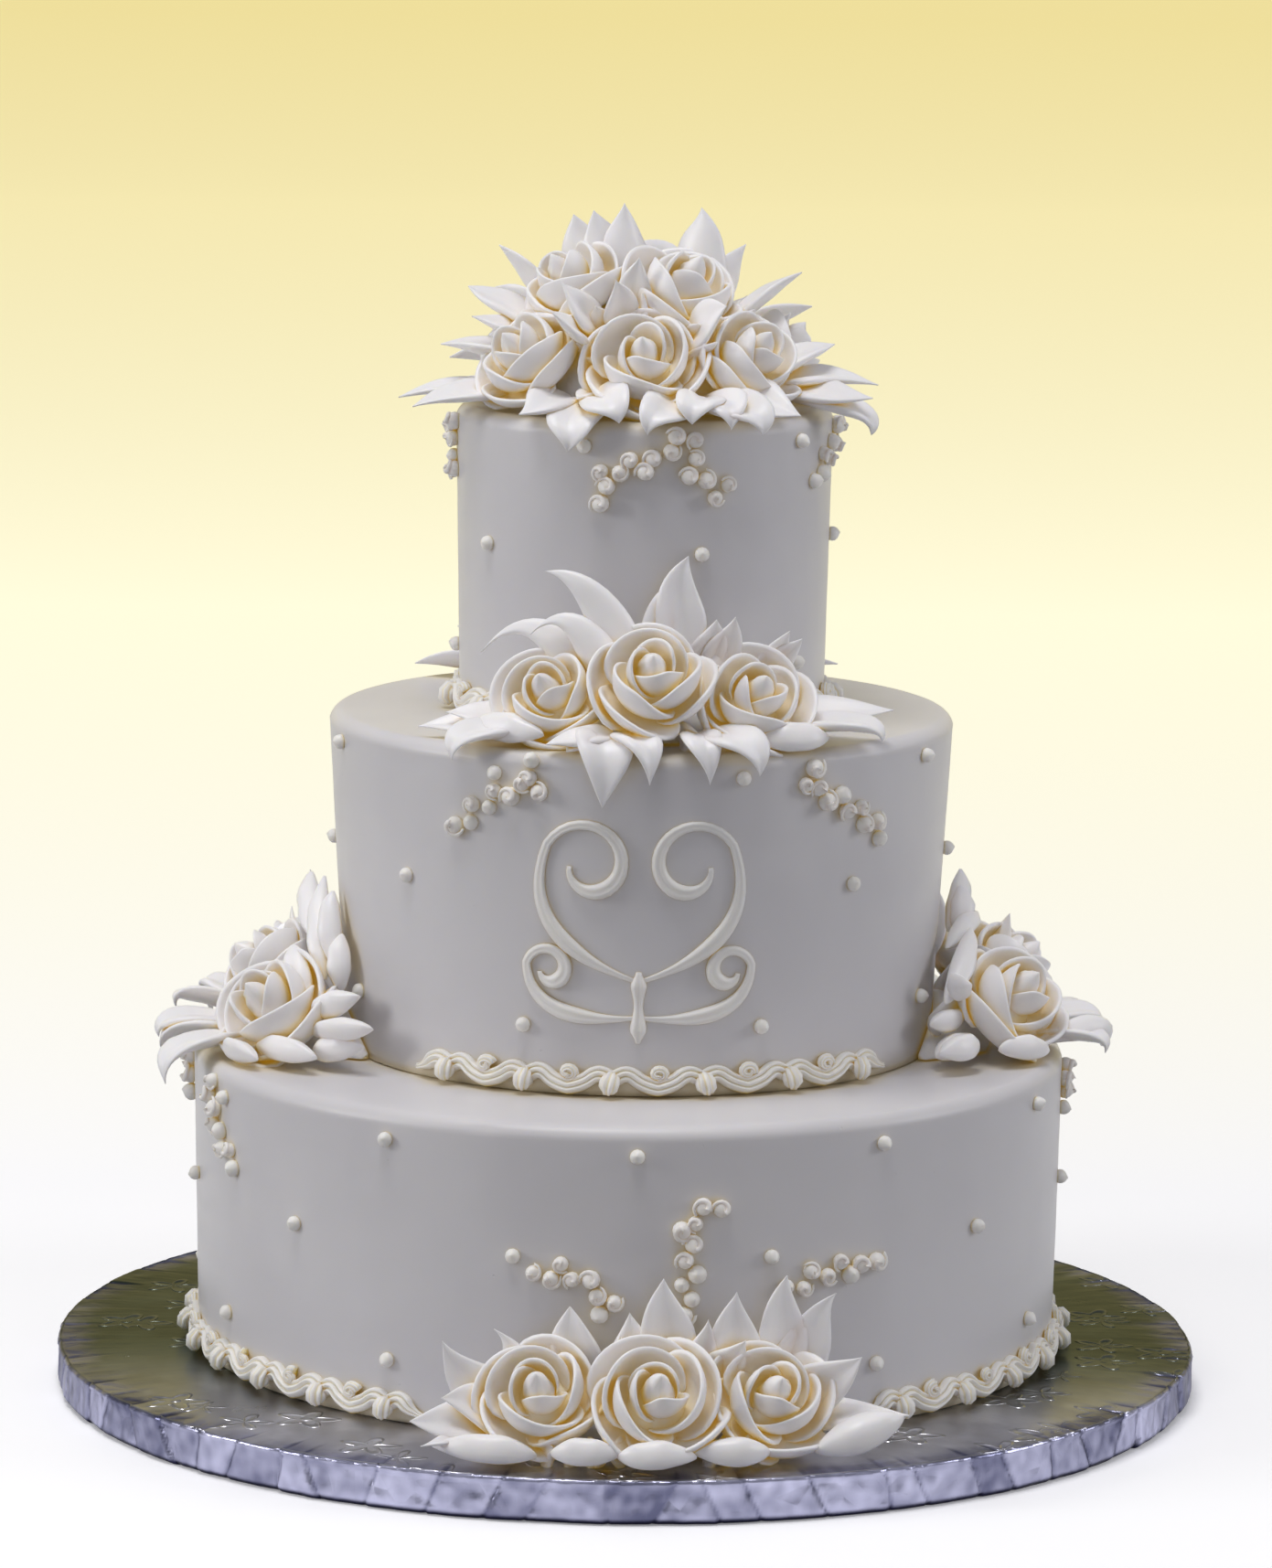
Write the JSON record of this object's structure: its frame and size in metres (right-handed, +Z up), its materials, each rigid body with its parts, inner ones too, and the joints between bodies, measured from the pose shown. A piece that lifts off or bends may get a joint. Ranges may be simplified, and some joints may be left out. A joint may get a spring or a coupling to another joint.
{
  "type": "wedding cake",
  "caption": "Round tiered wedding cake in ivory buttercream, dressed with piped roses, leaves, pearls, wavy borders and a scroll, on a silver foil board.",
  "frame": {"origin": "middle of the board's underside", "axes": "+Z up through the tiers, the front of the cake faces -Y, +X to the viewer's right"},
  "size_m": [0.4572, 0.4572, 0.4725],
  "materials": {
    "foil": "embossed silver foil, satin to bright, creased at the board's edge",
    "icing": "smooth ivory buttercream with a soft sheen",
    "roses": "piped ivory buttercream, silky, warmer in the folds",
    "leaves": "piped ivory buttercream, silky, warmer in the folds",
    "piping": "grooved ivory buttercream with a soft sheen"
  },
  "bodies": {
    "root": {"cake_board": "foil", "tier_bottom": "icing", "tier_middle": "icing", "tier_top": "icing", "board_front_rose_1": "roses", "board_front_rose_2": "roses", "board_front_rose_3": "roses", "board_front_leaves": "leaves", "board_back_rose_1": "roses", "board_back_rose_2": "roses", "board_back_rose_3": "roses", "board_back_leaves": "leaves", "side_left_rose_1": "roses", "side_left_rose_2": "roses", "side_left_rose_3": "roses", "side_left_leaves": "leaves", "side_right_rose_1": "roses", "side_right_rose_2": "roses", "side_right_rose_3": "roses", "side_right_leaves": "leaves", "middle_front_rose_1": "roses", "middle_front_rose_2": "roses", "middle_front_rose_3": "roses", "middle_front_leaves": "leaves", "middle_back_rose_1": "roses", "middle_back_rose_2": "roses", "middle_back_rose_3": "roses", "middle_back_leaves": "leaves", "bouquet_rose_01": "roses", "bouquet_rose_02": "roses", "bouquet_rose_03": "roses", "bouquet_rose_04": "roses", "bouquet_rose_05": "roses", "bouquet_rose_06": "roses", "bouquet_rose_07": "roses", "bouquet_rose_08": "roses", "bouquet_rose_09": "roses", "bouquet_rose_10": "roses", "bouquet_rose_11": "roses", "bouquet_leaves": "leaves", "border_board_right": "piping", "border_board_left": "piping", "border_ledge_front": "piping", "border_ledge_back": "piping", "border_top_right": "piping", "border_top_left": "piping", "piped_scroll": "piping"}
  },
  "joints": []
}
